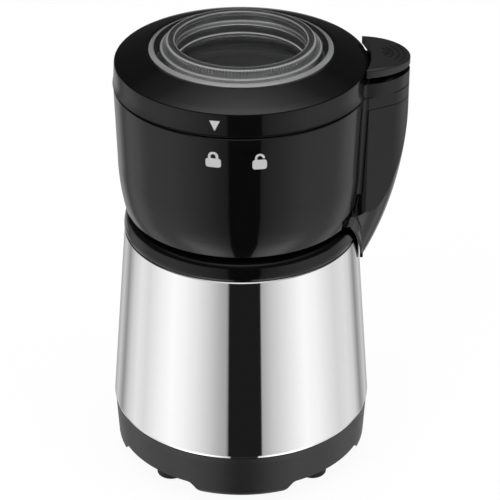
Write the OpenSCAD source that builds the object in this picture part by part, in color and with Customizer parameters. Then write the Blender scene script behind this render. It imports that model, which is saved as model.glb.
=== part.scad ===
// Electric spice grinder: a motor base, a lift-off grinding cup and a twist-lock lid
// with a thumb button. Millimetres, +Z up, origin on the drive axis at the worktop.
// The front is -Y and the column with the button stands on +X.

/* [Base ring] */
// Outer radius of the moulded base ring at its top edge
ring_r = 58.9; // [56:0.1:62]
// Outer radius of the ring's lower edge
ring_foot_r = 56.3; // [54:0.1:57]
// Height of the ring's top edge above the worktop
ring_top_z = 25.6; // [22:0.1:30]
// Height of the four skirts above the worktop
skirt_z = 3.4; // [1.5:0.1:4.5]
// Height of the arches between the skirts
arch_z = 8.7; // [6:0.1:10]
// Angle that one skirt spans
skirt_angle = 34; // [24:1:44]
// Wall of the base ring
ring_wall = 2.4; // [1.8:0.1:3]
// Inner radius of the ring's floor
ledge_r = 33; // [30:0.5:35]
// Thickness of the ring's floor and of the bottom cover
floor_t = 2.2; // [1.6:0.1:2.8]
// Radius of one rubber foot
foot_r = 6.5; // [5:0.1:7]
// Distance of a foot from the drive axis
foot_reach = 46; // [45:0.5:47]
// Radius of the cord outlet's bore
cord_r = 3.3; // [2.8:0.1:3.6]
// Height of the cord outlet's axis
cord_z = 17.5; // [17:0.1:18]

/* [Steel shell] */
// Outer radius of the shell at its top
shell_top_r = 52.4; // [52:0.1:54]
// Height of the shell
shell_h = 87.7; // [84:0.1:94]
// Sheet thickness
shell_t = 0.7; // [0.5:0.1:1]
// How far the shell stands out past the base ring
shell_proud = 0.2; // [0.1:0.1:0.6]

/* [Deck] */
// Height of the black collar above the shell
collar_h = 8.4; // [8:0.1:10]
// How far the collar bulges past the shell
collar_bulge = 0.1; // [0:0.1:0.8]
// Wall of the moulded deck
deck_wall = 2.2; // [1.8:0.1:2.6]
// Radius of the recess that the cup stands in
recess_r = 43.9; // [43.5:0.1:44.5]
// Depth of that recess
recess_depth = 3.8; // [3.4:0.1:5]
// Inner radius of the coupling well
well_r = 15; // [14.5:0.1:17]

/* [Cup] */
// Gap between the collar and the cup
cup_gap = 3; // [2:0.1:3.6]
// Height of the cup housing
cup_h = 59; // [58:0.1:66]
// Outer radius of the cup housing at its rim
cup_rim_r = 55.5; // [55:0.1:56]
// Outer radius where the housing starts to curve in
cup_mid_r = 54.5; // [54.3:0.1:54.9]
// Outer radius of the housing's lower edge
cup_foot_r = 51.7; // [51.5:0.1:52.4]
// Wall of the cup housing
cup_wall = 2; // [1.6:0.1:2.2]
// Inner radius of the grinding bowl
bowl_r = 45; // [43:0.1:45.2]
// Depth of the grinding bowl
bowl_depth = 43; // [40:0.5:44]
// Sheet thickness of the bowl
bowl_t = 0.8; // [0.6:0.1:1]
// Corner radius at the bowl's floor
bowl_corner = 8; // [5:0.5:12]
// Distance from the bowl's rim to the top of the housing
bowl_inset = 7.6; // [7.4:0.1:8.5]

/* [Column] */
// Radius of the round nose of the column
nose_r = 9; // [7:0.1:12]
// Distance from the drive axis to the outermost point of the column
nose_reach = 73.1; // [71:0.1:74]
// Width of the column where its sides leave the cup
column_w = 35.6; // [34:0.1:37]
// Radius of the hollow fillet between the column and the cup
fillet_r = 2.5; // [1.5:0.1:4]
// Height of the cap that closes the column under the lid
column_cap_h = 5.5; // [5:0.1:7]
// Radius of the long curve that sweeps the column in towards its tip
sweep_r = 178; // [160:1:190]
// Height of the tip above the shell's lower edge
tip_rise = 73.6; // [72:0.1:78]
// Width of the flare where the column's cover laps round the cup's lower edge
flare_w = 50.4; // [44:0.2:54]
// Wall of the column cover
fin_wall = 1.8; // [1.5:0.1:2.2]

/* [Lid] */
// Height of the lid's upright rim
lid_rim_h = 10.9; // [10:0.1:13]
// Radius at the crease between the rim and the sloping top
lid_crease_r = 55; // [54.5:0.1:55.4]
// Rise of the sloping top from the crease to the window
lid_slope_h = 4; // [3:0.1:5]
// Wall of the lid
lid_wall = 2; // [1.6:0.1:2.4]
// Outer radius of the window's flange
window_r = 40; // [39:0.1:41]
// Thickness of the window
window_t = 1.9; // [1.6:0.1:2.2]
// Radius of the window's raised ring where it leaves the flange
window_ring_r = 33.6; // [33:0.1:34.5]
// Height of the raised ring above the flange
window_ring_h = 5.2; // [4:0.1:6]
// Inner radius of the window's recess
window_recess_r = 29; // [28:0.1:29.8]
// Depth of the window's recess below the top of the ring
window_recess_depth = 10.8; // [9:0.1:12]
// Turn between locked and open
twist_angle = 21.5; // [18:0.5:24]

/* [Button] */
// Travel of the thumb button
press_travel = 2.8; // [1.6:0.1:3]
// Radius of the button's round outer edge
button_r = 15; // [13:0.1:16.5]
// Radius of the button's rounded top edge
button_edge = 1; // [0.4:0.1:1.4]
// How far the button's top falls towards its nose
button_crown = 1.3; // [0.4:0.1:1.6]
// Height of the button's side
button_h = 3.8; // [3.4:0.1:4.6]
// Radius of the button's stem and of the push rod's pin
stem_r = 3; // [2.5:0.1:3.4]
// Distance of the stem from the drive axis
stem_reach = 62; // [61:0.1:63]
// Height of the lid's tray under the button
tray_h = 6.3; // [5.8:0.1:7.5]
// Thickness of the push rod
rod_t = 2.7; // [2.3:0.1:2.9]
// Width of the push rod
rod_w = 8; // [6:0.1:9]

/* [Blade and couplings] */
// Radius of the blade's tips
blade_r = 38; // [34:0.5:41]
// Width of the blade
blade_w = 13; // [11:0.5:15]
// Thickness of the blade
blade_t = 1.5; // [1.2:0.1:2]
// Angle by which the wings are bent up
blade_bend = 17; // [12:1:20]
// Angle by which the wings are set
blade_pitch = 9; // [6:1:12]
// Radius of the blade's shaft
spindle_r = 3; // [2.5:0.1:3.5]
// Radius of both halves of the coupling
coupler_r = 13; // [12:0.1:13.5]
// Number of dogs on each half of the coupling
dog_count = 4; // [3:1:5]
// Height of a dog
dog_h = 4.8; // [4:0.1:5]

/* [Motor] */
// Radius of the motor shaft
shaft_r = 4; // [3.5:0.1:4.5]
// Radius of the armature
armature_r = 14.6; // [13:0.1:15]
// Length of the armature and the stator
stack_h = 22; // [20:0.5:24]
// Width of the stator across its yoke
stator_w = 66; // [64:0.5:67]
// Number of armature slots
slot_count = 12; // [9:1:14]
// Radius of the commutator
commutator_r = 9; // [8:0.1:10]
// Length of the commutator
commutator_h = 12; // [11:0.5:13]
// Radius of the cooling fan
fan_r = 23.5; // [20:0.5:24]
// Number of fan blades
fan_blades = 10; // [8:1:14]

/* [Fits] */
// Radial clearance of a shaft or pin that turns or slides in its bore
run_fit = 0.06; // [0.03:0.01:0.09]
// Gap between pieces that seat on one another
seat = 0.3; // [0.3:0.05:0.5]
// Gap at a visible seam
seam = 0.4; // [0.4:0.05:0.6]

/* [Hidden] */
$fn = 96;

// Heights, stacked from the worktop up
ledge_z = arch_z - 0.2;
shell_z = ring_top_z + seat;
shell_top_z = shell_z + shell_h;
deck_z = shell_top_z + collar_h;
recess_z = deck_z - recess_depth;
cup_z = deck_z + cup_gap;
rim_z = cup_z + cup_h;
lid_z = rim_z + seam;
crease_z = lid_z + lid_rim_h;
lid_top_z = crease_z + lid_slope_h;
bowl_top_z = rim_z - bowl_inset;
bowl_floor_z = bowl_top_z - bowl_depth;

// Ring, shell and collar
shell_r = ring_r + shell_proud;
shell_edge = 1;
shell_turn = 0.15;
shell_lip = 2;
shell_slope = (shell_r - shell_top_r) / (shell_h - shell_edge);
spigot_h = 6;
gland_wall = 1.8;
gland_flange = 1.5;
gland_lip = 1.5;
gland_lip_r = cord_r + gland_wall + 1;
gland_flange_r = cord_r + gland_wall + 1.4;
collar_r = shell_top_r + collar_bulge;
collar_edge = 3.4;
collar_spigot_h = 8;
foot_stem_r = 2.6;
foot_stem_h = 7;
cover_r = foot_reach - foot_r - seat;
cover_screw_reach = ledge_r + 2.4;
screw_r = 1.5;
screw_head_r = 2.6;
screw_head_h = 1.8;
boss_wall = 1.6;

// Coupling, seen from the coupling well
bush_flange_t = 1.8;
bush_flange_z = recess_z - 1.2;
coupler_t = 3;
driven_z = bush_flange_z - seat - coupler_t;
drive_top_z = driven_z - seat - dog_h;
drive_z = drive_top_z - coupler_t;
well_z = drive_z - 3;
well_out_z = well_z - deck_wall;
dog_angle = 360 / dog_count / 2 - 7;
dog_inner_r = 6;

// Motor, stacked down from the coupling well
bracket_t = 3;
bracket_w = 17;
bearing_r = 8;
bearing_h = 7;
upper_bracket_z = well_out_z - 1 - bracket_t;
fan_h = 7;
fan_z = upper_bracket_z - bearing_h - 2.4 - fan_h;
winding_h = 4;
stack_z = fan_z - 2 - winding_h - stack_h;
commutator_z = stack_z - winding_h - 1 - commutator_h;
lower_bracket_z = commutator_z - 2 - bracket_t;
bolt_reach = stator_w / 2 - 5;
bolt_r = 2;
hanger_reach = bolt_reach + 10;
pole_angle = 52;
coil_in_r = armature_r + 2.2;
coil_out_r = coil_in_r + 7.2;
coil_over = 6;
brush_w = 6;
brush_h = 5;
brush_len = 14;
brush_z = commutator_z + commutator_h / 2;

// Cup
cup_edge = 0.8;
rim_chamfer = 0.4;
cup_bend_z = cup_z + 24.9;
bend_rise = cup_bend_z - cup_z - cup_edge;
bend_in = cup_mid_r - cup_foot_r;
bend_r = (bend_rise * bend_rise + bend_in * bend_in) / (2 * bend_in);
ledge_t = 1.8;
ledge_in_r = bowl_r + bowl_t + 1.2;
bowl_flange_r = cup_rim_r - cup_wall - 3;
bush_r = 6;
floor_plate_t = 2.4;
locator_t = 3;
gasket_t = 0.8;
bush_top_z = bowl_floor_z + 5.4;
nut_h = 4;
boss_top_z = bowl_floor_z - bowl_t - gasket_t;
plate_z = min(cup_z + 0.4, boss_top_z - floor_plate_t);
cup_screw_reach = 36;
rod_reach = bowl_r + bowl_t + 0.9;
rod_gap = 0.15;
rod_mid = rod_reach + rod_t / 2;
slider_guide_z = recess_z - 6;
slider_foot_z = slider_guide_z - 6;
slider_wing = 1.5;
guide_wall = 2;
switch_drop = 20;
switch_l = 20;
plunger_r = 1.1;

// Column
nose_x = nose_reach - nose_r;
half_w = column_w / 2;
flank_x = 50;
cap_top_z = rim_z;
cap_z = cap_top_z - column_cap_h;
fin_top_z = cap_z - seat;
sweep_x = 48;
sweep_z = fin_top_z - 2;
tip_z = shell_z + tip_rise;
tip_in_r = shell_top_r + shell_slope * (shell_top_z - tip_z) + seam;
arm_z = cap_z - 9;
arm_t = 4;
shelf_z = arm_z - 18;
shelf_t = 2;
fin_screw_z = cup_bend_z;
fin_screw_y = 10;
fin_boss_r = 3.4;
flare_t = 1.3;
flare_top_z = cup_z + 12;
tip_half_w = 7;
ridge_z = flare_top_z + 1;
wire_r = 0.45;

// Lid
tray_z = lid_z;
tray_top_z = tray_z + tray_h;
guide_top_z = tray_z + lid_wall + 2;
button_coil_r = stem_r + wire_r + 0.3;
button_z = tray_top_z + press_travel + seat;
button_x = nose_reach - button_r;
button_half_w = half_w + 0.4;
button_top_z = button_z + button_h;
crown_x = stem_reach - 4;
crown_r = (pow(nose_reach - crown_x, 2) + button_crown * button_crown) / (2 * button_crown);
skirt_out_r = cup_rim_r - cup_wall - 2.1;
skirt_t = 1.9;
lug_t = 2;
lug_angle = twist_angle - 8.5;
lug_count = 4;
lug_reach = cup_rim_r - cup_wall - 0.5;
lid_lug_z = bowl_top_z + seat + 0.4;
cup_lug_z = lid_lug_z + lug_t + 0.6;
seal_h = 4.6;
web_z = bowl_top_z + seat + seal_h + seat;
web_t = 1.5;
rebate_z = lid_top_z - window_t - gasket_t;
ring_hole_r = window_ring_r + 1;

// Radius of the base ring's inner wall at height z
function ring_in_r(z) = ring_foot_r - ring_wall
    + (ring_r - ring_foot_r) * (z - ledge_z - 1) / (ring_top_z - ledge_z - 4);

// Where the gland's lip meets the ring's inner wall, clear of it on both sides
function gland_lip_y() = sqrt(pow(min(ring_in_r(cord_z - gland_lip_r),
    ring_in_r(cord_z + gland_lip_r)), 2) - gland_lip_r * gland_lip_r) - run_fit;

// Radius of the cup housing at height z, from its lower edge up to the bend
function cup_r(z) = cup_mid_r - bend_r + sqrt(bend_r * bend_r - pow(cup_bend_z - z, 2));

// A lobe has a round tip at tip_x and two flanks, each part of a large circle that the
// tip's circle touches from inside. This is the radius of those large circles.
function flank_r(tip_r, tip_x, half) =
    (pow(tip_x - flank_x, 2) / (half - tip_r) + tip_r + half) / 2;

// Radius of the column's flanks, and how far their centres lie past the middle
column_flank_r = flank_r(nose_r, nose_x, half_w);
column_flank_d = column_flank_r - half_w;

// Centre of the fillet between the column's flank and a round body of radius body_r:
// where the circle about the axis and the circle about the flank's centre cross
function fillet_centre(body_r) =
    let (c = [flank_x, -column_flank_d], d = norm(c), r0 = body_r + fillet_r,
        r1 = column_flank_r + fillet_r, a = (r0 * r0 - r1 * r1 + d * d) / (2 * d))
    a * c / d + sqrt(r0 * r0 - a * a) * [column_flank_d, flank_x] / d;

function arc(c, r, a0, a1, n = 8) =
    [for (i = [0:n]) c + r * [cos(a0 + (a1 - a0) * i / n), sin(a0 + (a1 - a0) * i / n)]];

// A ring of n copies about the drive axis, the first at angle start
module around(n, start = 0) {
    for (i = [0:n - 1]) rotate([0, 0, start + 360 * i / n]) children();
}

// A flat ring between two radii
module tube(r_out, r_in, z, h) {
    translate([0, 0, z]) difference() {
        cylinder(r = r_out, h = h);
        translate([0, 0, -1]) cylinder(r = r_in, h = h + 2);
    }
}

// A sector of a ring, centred on +X
module sector(r_out, r_in, angle, z, h) {
    translate([0, 0, z]) rotate([0, 0, -angle / 2]) rotate_extrude(angle = angle)
        translate([r_in, 0]) square([r_out - r_in, h]);
}

// A compression spring: closed turns of round wire on a thin sleeve that joins them
module spring(reach, coil_r, z0, z1, turns) {
    pitch = (z1 - z0 - 2 * wire_r) / turns;
    translate([reach, 0, z0 + wire_r]) rotate_extrude($fn = 48) union() {
        for (i = [0:turns]) translate([coil_r, i * pitch]) circle(r = wire_r, $fn = 16);
        translate([coil_r - wire_r / 4, 0]) square([wire_r / 2, turns * pitch]);
    }
}

// A pan-head screw that points up, its head's top face at z
module screw_up(z, length) {
    translate([0, 0, z - screw_head_h]) cylinder(r = screw_head_r, h = screw_head_h);
    translate([0, 0, z - 0.1]) cylinder(r = screw_r, h = length + 0.1);
}

// The part of a lobe's plan that its flanks bound, up to the lines through the points
// where the tip takes over
module flank_field(tip_r, tip_x, half, back) {
    big = flank_r(tip_r, tip_x, half);
    end = [flank_x, half - big] + (big + 5) * [tip_x - flank_x, big - half] / (big - tip_r);
    polygon([[back, -half - 5], [end.x, -end.y], [tip_x, 0], end, [back, half + 5]]);
}

// Plan of the column, drawn in by inset: a round nose with curved flanks that run back
// into the cup
module column_plan(inset, back) {
    translate([nose_x, 0]) circle(r = nose_r - inset);
    intersection() {
        translate([flank_x, -column_flank_d]) circle(r = column_flank_r - inset, $fn = 180);
        translate([flank_x, column_flank_d]) circle(r = column_flank_r - inset, $fn = 180);
        flank_field(nose_r, nose_x, half_w, back);
    }
}

// The concave fillets where the column leaves a round body of radius body_r
module column_fillets(body_r) {
    centre = fillet_centre(body_r);
    flank_centre = [flank_x, -column_flank_d];
    on_body = centre * body_r / (body_r + fillet_r);
    on_flank = flank_centre + (centre - flank_centre) * column_flank_r
        / (column_flank_r + fillet_r);
    for (side = [0, 1]) mirror([0, side]) difference() {
        polygon([on_body, centre, on_flank, [on_flank.x, half_w - 4],
            [on_body.x - 4, half_w - 4]]);
        translate(centre) circle(r = fillet_r);
    }
}

// The swept column as a solid, drawn in by inset on its outer faces
module column_body(inset, z0, z1) {
    intersection() {
        translate([0, 0, z0]) linear_extrude(z1 - z0) column_plan(inset, sweep_x - 4);
        translate([sweep_x, 0, 0]) rotate_extrude() union() {
            intersection() {
                translate([nose_reach - sweep_x - sweep_r, sweep_z])
                    circle(r = sweep_r - inset, $fn = 360);
                translate([0, z0]) square([nose_reach, sweep_z - z0]);
            }
            translate([0, sweep_z]) square([nose_reach - sweep_x - inset, z1 - sweep_z]);
        }
    }
}

// A round disc with a rounded top edge
module puck(r, h, edge) {
    rotate_extrude() union() {
        square([r - edge, h]);
        square([r, h - edge]);
        translate([r - edge, h - edge]) circle(r = edge, $fn = 48);
    }
}

// The corners between the cup and the column's sides, up to the plane in which the
// cover's side walls end, moved out by gap. The cup's ridges fill them.
module corners(gap, z0) {
    low = fillet_centre(cup_r(ridge_z));
    lean = atan((fillet_centre(cup_rim_r).x - low.x) / (rim_z - ridge_z));
    for (side = [0, 1]) mirror([0, side, 0])
        translate([low.x, half_w - fin_wall - seam, ridge_z]) rotate([0, lean, 0])
        translate([-12, 0, z0 - ridge_z]) cube([12 + gap, 12, rim_z - z0]);
}

// Ridges on the cup that carry the fillets down both sides of the column's cover
module fillet_ridges() {
    low = fillet_centre(cup_r(ridge_z));
    high = fillet_centre(cup_rim_r);
    run = [high.x - low.x, high.y - low.y, rim_z - ridge_z];
    foot_y = high.y * cup_rim_r / (cup_rim_r + fillet_r);
    difference() {
        intersection() {
            rotate_extrude() difference() {
                cup_form(-fillet_r);
                cup_form(cup_wall / 2);
            }
            translate([flank_x - 10, -foot_y, ridge_z])
                cube([20, 2 * foot_y, cap_z - ridge_z + 0.1]);
            corners(0, ridge_z);
        }
        for (side = [0, 1]) mirror([0, side, 0]) translate([low.x, low.y, ridge_z] - run / 4)
            rotate([0, acos(run.z / norm(run)), atan2(run.y, run.x)])
            cylinder(r = fillet_r, h = norm(run) * 1.5);
    }
}

// Outline of the cover's lower part from the side: it widens towards the cup's lower
// edge and then runs in to the tip
module flare_outline() {
    upper = [for (i = [0:8]) let (t = i / 8)
        [half_w + (flare_w / 2 - half_w) * t * t * t, flare_top_z + (cup_z - flare_top_z) * t]];
    lower = [for (i = [1:10]) let (t = 1 - i / 10)
        [tip_half_w + (flare_w / 2 - tip_half_w) * pow(t, 1.25), tip_z + (cup_z - tip_z) * t]];
    outline = concat(upper, lower);
    polygon(concat(outline, [for (i = [len(outline) - 1:-1:0]) [-outline[i].x, outline[i].y]]));
}

// Half section of the cup housing's outer form, drawn in by inset
module cup_form(inset) {
    polygon(concat(
        [[0, cup_z], [cup_foot_r - cup_edge - inset, cup_z]],
        arc([cup_foot_r - cup_edge - inset, cup_z + cup_edge], cup_edge, -60, -12, 4),
        [for (i = [1:11]) let (z = cup_z + cup_edge + bend_rise * i / 12)
            [cup_r(z) - inset, z]],
        [[cup_mid_r - inset, cup_bend_z], [cup_rim_r - inset, rim_z - rim_chamfer],
        [cup_rim_r - rim_chamfer - inset, rim_z], [0, rim_z]]));
}

// Outline of one arch between two skirts, with soft shoulders
module arch_outline(half, rise) {
    shoulder = 7;
    function ease(t) = (1 - cos(180 * t)) / 2;
    polygon(concat(
        [[-half - shoulder, -1]],
        [for (i = [0:8]) [-half - shoulder + shoulder * i / 8, rise * ease(i / 8)]],
        [for (i = [0:8]) [half + shoulder * i / 8, rise * ease(1 - i / 8)]],
        [[half + shoulder, -1]]));
}

module rubber_feet() {
    color([0.09, 0.09, 0.1]) around(4, 45) translate([foot_reach, 0, 0]) {
        rotate_extrude() polygon(concat(
            [[0, 0], [foot_r - 1, 0]], arc([foot_r - 1, 1], 1, -60, 0, 4),
            [[foot_r, ledge_z - run_fit], [0, ledge_z - run_fit]]));
        cylinder(r = foot_stem_r, h = ledge_z + foot_stem_h);
    }
}

module base_ring() {
    crease = ring_top_z - 3;
    arch_half = (ring_foot_r * sin(45 - skirt_angle / 2)) - 7;
    inner = ring_r - ring_wall;
    spigot_r = shell_r - shell_slope * (spigot_h + seat) - shell_t - 0.2;
    color([0.22, 0.22, 0.23]) difference() {
        union() {
            rotate_extrude() polygon(concat(
                [[ring_foot_r - ring_wall, skirt_z]],
                arc([ring_foot_r - 1.6, skirt_z + 3], 3, -90, -14, 6),
                [[ring_r - 0.3, crease], [ring_r, ring_top_z], [spigot_r, ring_top_z],
                [spigot_r, ring_top_z + spigot_h], [spigot_r - 1.6, ring_top_z + spigot_h],
                [spigot_r - 1.6, ring_top_z - 1], [ring_r - ring_wall, ring_top_z - 3],
                [ring_foot_r - ring_wall, ledge_z + 1]]));
            tube(ring_foot_r - ring_wall + 0.5, ledge_r, ledge_z, floor_t);
            around(4, 45) translate([foot_reach, 0, ledge_z])
                cylinder(r = foot_stem_r + boss_wall, h = foot_stem_h - 1);
            around(4) translate([cover_screw_reach, 0, ledge_z])
                cylinder(r = screw_r + boss_wall, h = foot_stem_h + 1);
            // Flat pad that the cord outlet's sleeve seats on
            translate([0, ring_in_r(cord_z) + 0.5, cord_z]) rotate([-90, 0, 0])
                cylinder(r = gland_flange_r + 0.5, h = ring_r - ring_in_r(cord_z) - 0.5);
        }
        around(4, 45) {
            translate([foot_reach, 0, ledge_z - 1])
                cylinder(r = foot_stem_r + run_fit, h = foot_stem_h + 2);
            translate([ring_foot_r - ring_wall - 6, 0, 0]) rotate([90, 0, 90])
                linear_extrude(12) translate([0, skirt_z - 0.01])
                arch_outline(arch_half, arch_z - skirt_z);
        }
        around(4) translate([cover_screw_reach, 0, ledge_z - 1])
            cylinder(r = screw_r + run_fit, h = foot_stem_h + 3);
        translate([0, inner - 6, cord_z]) rotate([-90, 0, 0])
            cylinder(r = cord_r + gland_wall + run_fit, h = ring_wall + 10);
    }
}

module bottom_cover() {
    z = ledge_z - floor_t - run_fit;
    color([0.16, 0.16, 0.17]) difference() {
        translate([0, 0, z]) cylinder(r = cover_r, h = floor_t);
        around(4) translate([cover_screw_reach, 0, z - 1])
            cylinder(r = screw_r + 0.2, h = floor_t + 2);
        for (band = [0:2]) around(8, 22.5)
            sector(15 + 7 * band, 11 + 7 * band, 30, z - 1, floor_t + 2);
    }
}

module bottom_screws() {
    color([0.6, 0.6, 0.62]) around(4) translate([cover_screw_reach, 0, 0])
        screw_up(ledge_z - floor_t - run_fit - 0.05, floor_t + foot_stem_h);
}

module cord_gland() {
    y0 = gland_lip_y() - gland_lip;
    y1 = ring_r + run_fit + gland_flange;
    color([0.06, 0.06, 0.07]) translate([0, 0, cord_z]) rotate([-90, 0, 0]) difference() {
        union() {
            translate([0, 0, y0]) cylinder(r = cord_r + gland_wall, h = y1 - y0);
            translate([0, 0, y1 - gland_flange])
                cylinder(r = gland_flange_r, h = gland_flange);
            translate([0, 0, y0]) cylinder(r = gland_lip_r, h = gland_lip);
        }
        translate([0, 0, y0 - 1]) cylinder(r = cord_r, h = y1 - y0 + 2);
    }
}

module steel_shell() {
    top = shell_top_z - seat;
    color([0.8, 0.8, 0.82]) rotate_extrude() polygon([
        [shell_r - shell_turn, shell_z], [shell_r, shell_z + shell_edge],
        [shell_top_r, top - 0.4], [shell_top_r - 0.4, top],
        [shell_top_r - shell_lip, top], [shell_top_r - shell_lip, top - shell_t],
        [shell_top_r - shell_t - 0.4, top - shell_t], [shell_r - shell_t, shell_z + shell_edge],
        [shell_r - shell_turn - shell_t, shell_z]]);
}

module collar() {
    spigot_r = shell_top_r - shell_lip - run_fit;
    plate_z = slider_foot_z - switch_drop;
    color([0.05, 0.05, 0.06]) difference() {
        union() {
            rotate_extrude() union() {
                polygon(concat(
                    [[recess_r, recess_z], [recess_r, deck_z],
                    [collar_r - collar_edge - 0.5, deck_z]],
                    arc([collar_r - collar_edge - 0.5, deck_z - collar_edge],
                        collar_edge, 90, 10, 8),
                    [[collar_r, deck_z - collar_edge - 2.4],
                    [collar_r, shell_top_z + 1.2],
                    [collar_r - 0.4, shell_top_z + 0.1], [spigot_r, shell_top_z],
                    [spigot_r, shell_top_z - collar_spigot_h],
                    [spigot_r - deck_wall, shell_top_z - collar_spigot_h],
                    [spigot_r - deck_wall, recess_z - deck_wall],
                    [recess_r, recess_z - deck_wall]]));
                translate([well_r + deck_wall - 0.01, recess_z - deck_wall])
                    square([recess_r - well_r - deck_wall + 0.02, deck_wall]);
                translate([well_r, well_out_z])
                    square([deck_wall, recess_z - well_out_z]);
                translate([shaft_r + 2.5, well_out_z])
                    square([well_r - shaft_r - 2.5 + 0.01, deck_wall]);
            }
            around(2) translate([hanger_reach, 0, upper_bracket_z + bracket_t])
                cylinder(r = screw_r + boss_wall,
                    h = recess_z - deck_wall - upper_bracket_z - bracket_t + 0.1);
            // Guide for the switch slider and the plate that carries the switch
            intersection() {
                translate([rod_reach - guide_wall - rod_gap, -rod_w / 2 - guide_wall,
                    slider_guide_z])
                    cube([rod_t + 2 * guide_wall, rod_w + 2 * guide_wall,
                        deck_z - slider_guide_z - 1]);
                cylinder(r = spigot_r, h = deck_z);
            }
            translate([rod_reach - guide_wall - rod_gap, -switch_l / 2 - 2, plate_z])
                cube([guide_wall - seat, switch_l + 4, recess_z - plate_z - 1]);
        }
        translate([rod_reach - rod_gap, -rod_w / 2 - rod_gap, slider_guide_z - 1])
            cube([rod_t + 2 * rod_gap, rod_w + 2 * rod_gap, deck_z - slider_guide_z + 2]);
        // Room in the spigot for the slider's foot
        translate([rod_reach - rod_gap, -rod_w / 2 - slider_wing - seat,
            shell_top_z - collar_spigot_h - 1])
            cube([rod_t + 2, rod_w + 2 * (slider_wing + seat),
                slider_guide_z - shell_top_z + collar_spigot_h + 1]);
        around(2) translate([hanger_reach, 0, upper_bracket_z])
            cylinder(r = screw_r + run_fit, h = 14);
    }
}

module shaft_seal() {
    color([0.25, 0.07, 0.05]) tube(shaft_r + 2.5 - run_fit, shaft_r + run_fit,
        well_out_z, deck_wall);
    color([0.25, 0.07, 0.05]) tube(shaft_r + 5, shaft_r + run_fit,
        well_z + run_fit, 1.2);
}

// A strap with a bearing pocket, its plate's lower face at z
module bracket(z, half, pocket_below) {
    pocket_z = pocket_below ? z - bearing_h + bracket_t : z;
    difference() {
        union() {
            translate([-half, -bracket_w / 2, z]) cube([2 * half, bracket_w, bracket_t]);
            translate([0, 0, z]) cylinder(r = bearing_r + 5, h = bracket_t);
            translate([0, 0, pocket_z]) cylinder(r = bearing_r + 2, h = bearing_h);
        }
        translate([0, 0, pocket_z - 1]) cylinder(r = bearing_r + run_fit, h = bearing_h + 2);
        around(2) translate([bolt_reach, 0, z - 1])
            cylinder(r = bolt_r + run_fit, h = bracket_t + 2);
    }
}

module upper_bracket() {
    color([0.7, 0.71, 0.73]) difference() {
        bracket(upper_bracket_z, hanger_reach + 5, true);
        around(2) translate([hanger_reach, 0, upper_bracket_z - 1])
            cylinder(r = screw_r + 0.2, h = bracket_t + 2);
    }
}

module lower_bracket() {
    arm = brush_len + commutator_r - 4;
    color([0.7, 0.71, 0.73]) union() {
        bracket(lower_bracket_z, bolt_reach + 5, true);
        for (side = [-1, 1]) translate([-brush_w / 2 - 1, side * (arm + bearing_r + 2) / 2
            - (arm - bearing_r - 2) / 2, lower_bracket_z])
            cube([brush_w + 2, arm - bearing_r - 2, bracket_t]);
    }
}

module motor_bolts() {
    z1 = upper_bracket_z + bracket_t;
    color([0.6, 0.6, 0.62]) around(2) translate([bolt_reach, 0, 0]) {
        translate([0, 0, lower_bracket_z - 2.6]) cylinder(r = bolt_r + 1.6, h = 2.55);
        translate([0, 0, lower_bracket_z - 1]) cylinder(r = bolt_r, h = z1 - lower_bracket_z + 1);
    }
    // Spacers that hold the stator between the two brackets
    color([0.6, 0.6, 0.62]) around(2) translate([bolt_reach, 0, 0]) {
        tube(bolt_r + 1.6, bolt_r + run_fit / 2, stack_z + stack_h + 0.05,
            upper_bracket_z - stack_z - stack_h - 0.1);
        tube(bolt_r + 1.6, bolt_r + run_fit / 2, lower_bracket_z + bracket_t + 0.05,
            stack_z - lower_bracket_z - bracket_t - 0.1);
    }
}

module bracket_screws() {
    color([0.6, 0.6, 0.62]) around(2) translate([hanger_reach, 0, 0])
        screw_up(upper_bracket_z - 0.05, bracket_t + 10);
}

module motor_bearings() {
    color([0.62, 0.48, 0.2]) for (z = [upper_bracket_z, lower_bracket_z])
        tube(bearing_r, shaft_r + run_fit, z + bracket_t - bearing_h, bearing_h);
}

module stator_core() {
    color([0.42, 0.42, 0.44]) difference() {
        translate([0, 0, stack_z]) linear_extrude(stack_h) intersection() {
            circle(r = stator_w / 2);
            square([stator_w, stator_w * 0.84], center = true);
        }
        translate([0, 0, stack_z - 1]) cylinder(r = armature_r + 0.6, h = stack_h + 2);
        for (side = [0, 180]) rotate([0, 0, 90 + side])
            sector(coil_out_r + 0.3, armature_r + 0.1, 180 - 2 * pole_angle,
                stack_z - 1, stack_h + 2);
        around(2) translate([bolt_reach, 0, stack_z - 1])
            cylinder(r = bolt_r + run_fit, h = stack_h + 2);
    }
}

module field_coils() {
    color([0.68, 0.33, 0.14]) for (side = [0, 180]) rotate([0, 0, side]) difference() {
        sector(coil_out_r, coil_in_r, 170, stack_z - coil_over, stack_h + 2 * coil_over);
        sector(coil_out_r + 1, coil_in_r - 1, 2 * pole_angle + 1.5,
            stack_z - 0.1, stack_h + 0.2);
        translate([bolt_reach, 0, stack_z - coil_over - 1])
            cylinder(r = bolt_r + 2, h = stack_h + 2 * coil_over + 2);
    }
}

module brush_holders() {
    wall = 1;
    y0 = commutator_r + 2;
    foot_z = lower_bracket_z + bracket_t + 0.05;
    color([0.75, 0.6, 0.25]) for (side = [0, 1]) mirror([0, side, 0]) difference() {
        translate([-brush_w / 2 - wall, y0, foot_z])
            cube([brush_w + 2 * wall, brush_len - 1, brush_z + brush_h / 2 + wall - foot_z]);
        translate([-brush_w / 2 - run_fit, y0 - 1, brush_z - brush_h / 2 - run_fit])
            cube([brush_w + 2 * run_fit, brush_len + 2, brush_h + 2 * run_fit]);
    }
}

module carbon_brushes() {
    color([0.12, 0.12, 0.13]) for (side = [0, 1]) mirror([0, side, 0]) difference() {
        translate([-brush_w / 2, commutator_r - 1, brush_z - brush_h / 2])
            cube([brush_w, brush_len, brush_h]);
        translate([0, 0, brush_z - brush_h]) cylinder(r = commutator_r + run_fit, h = 2 * brush_h);
    }
}

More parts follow.
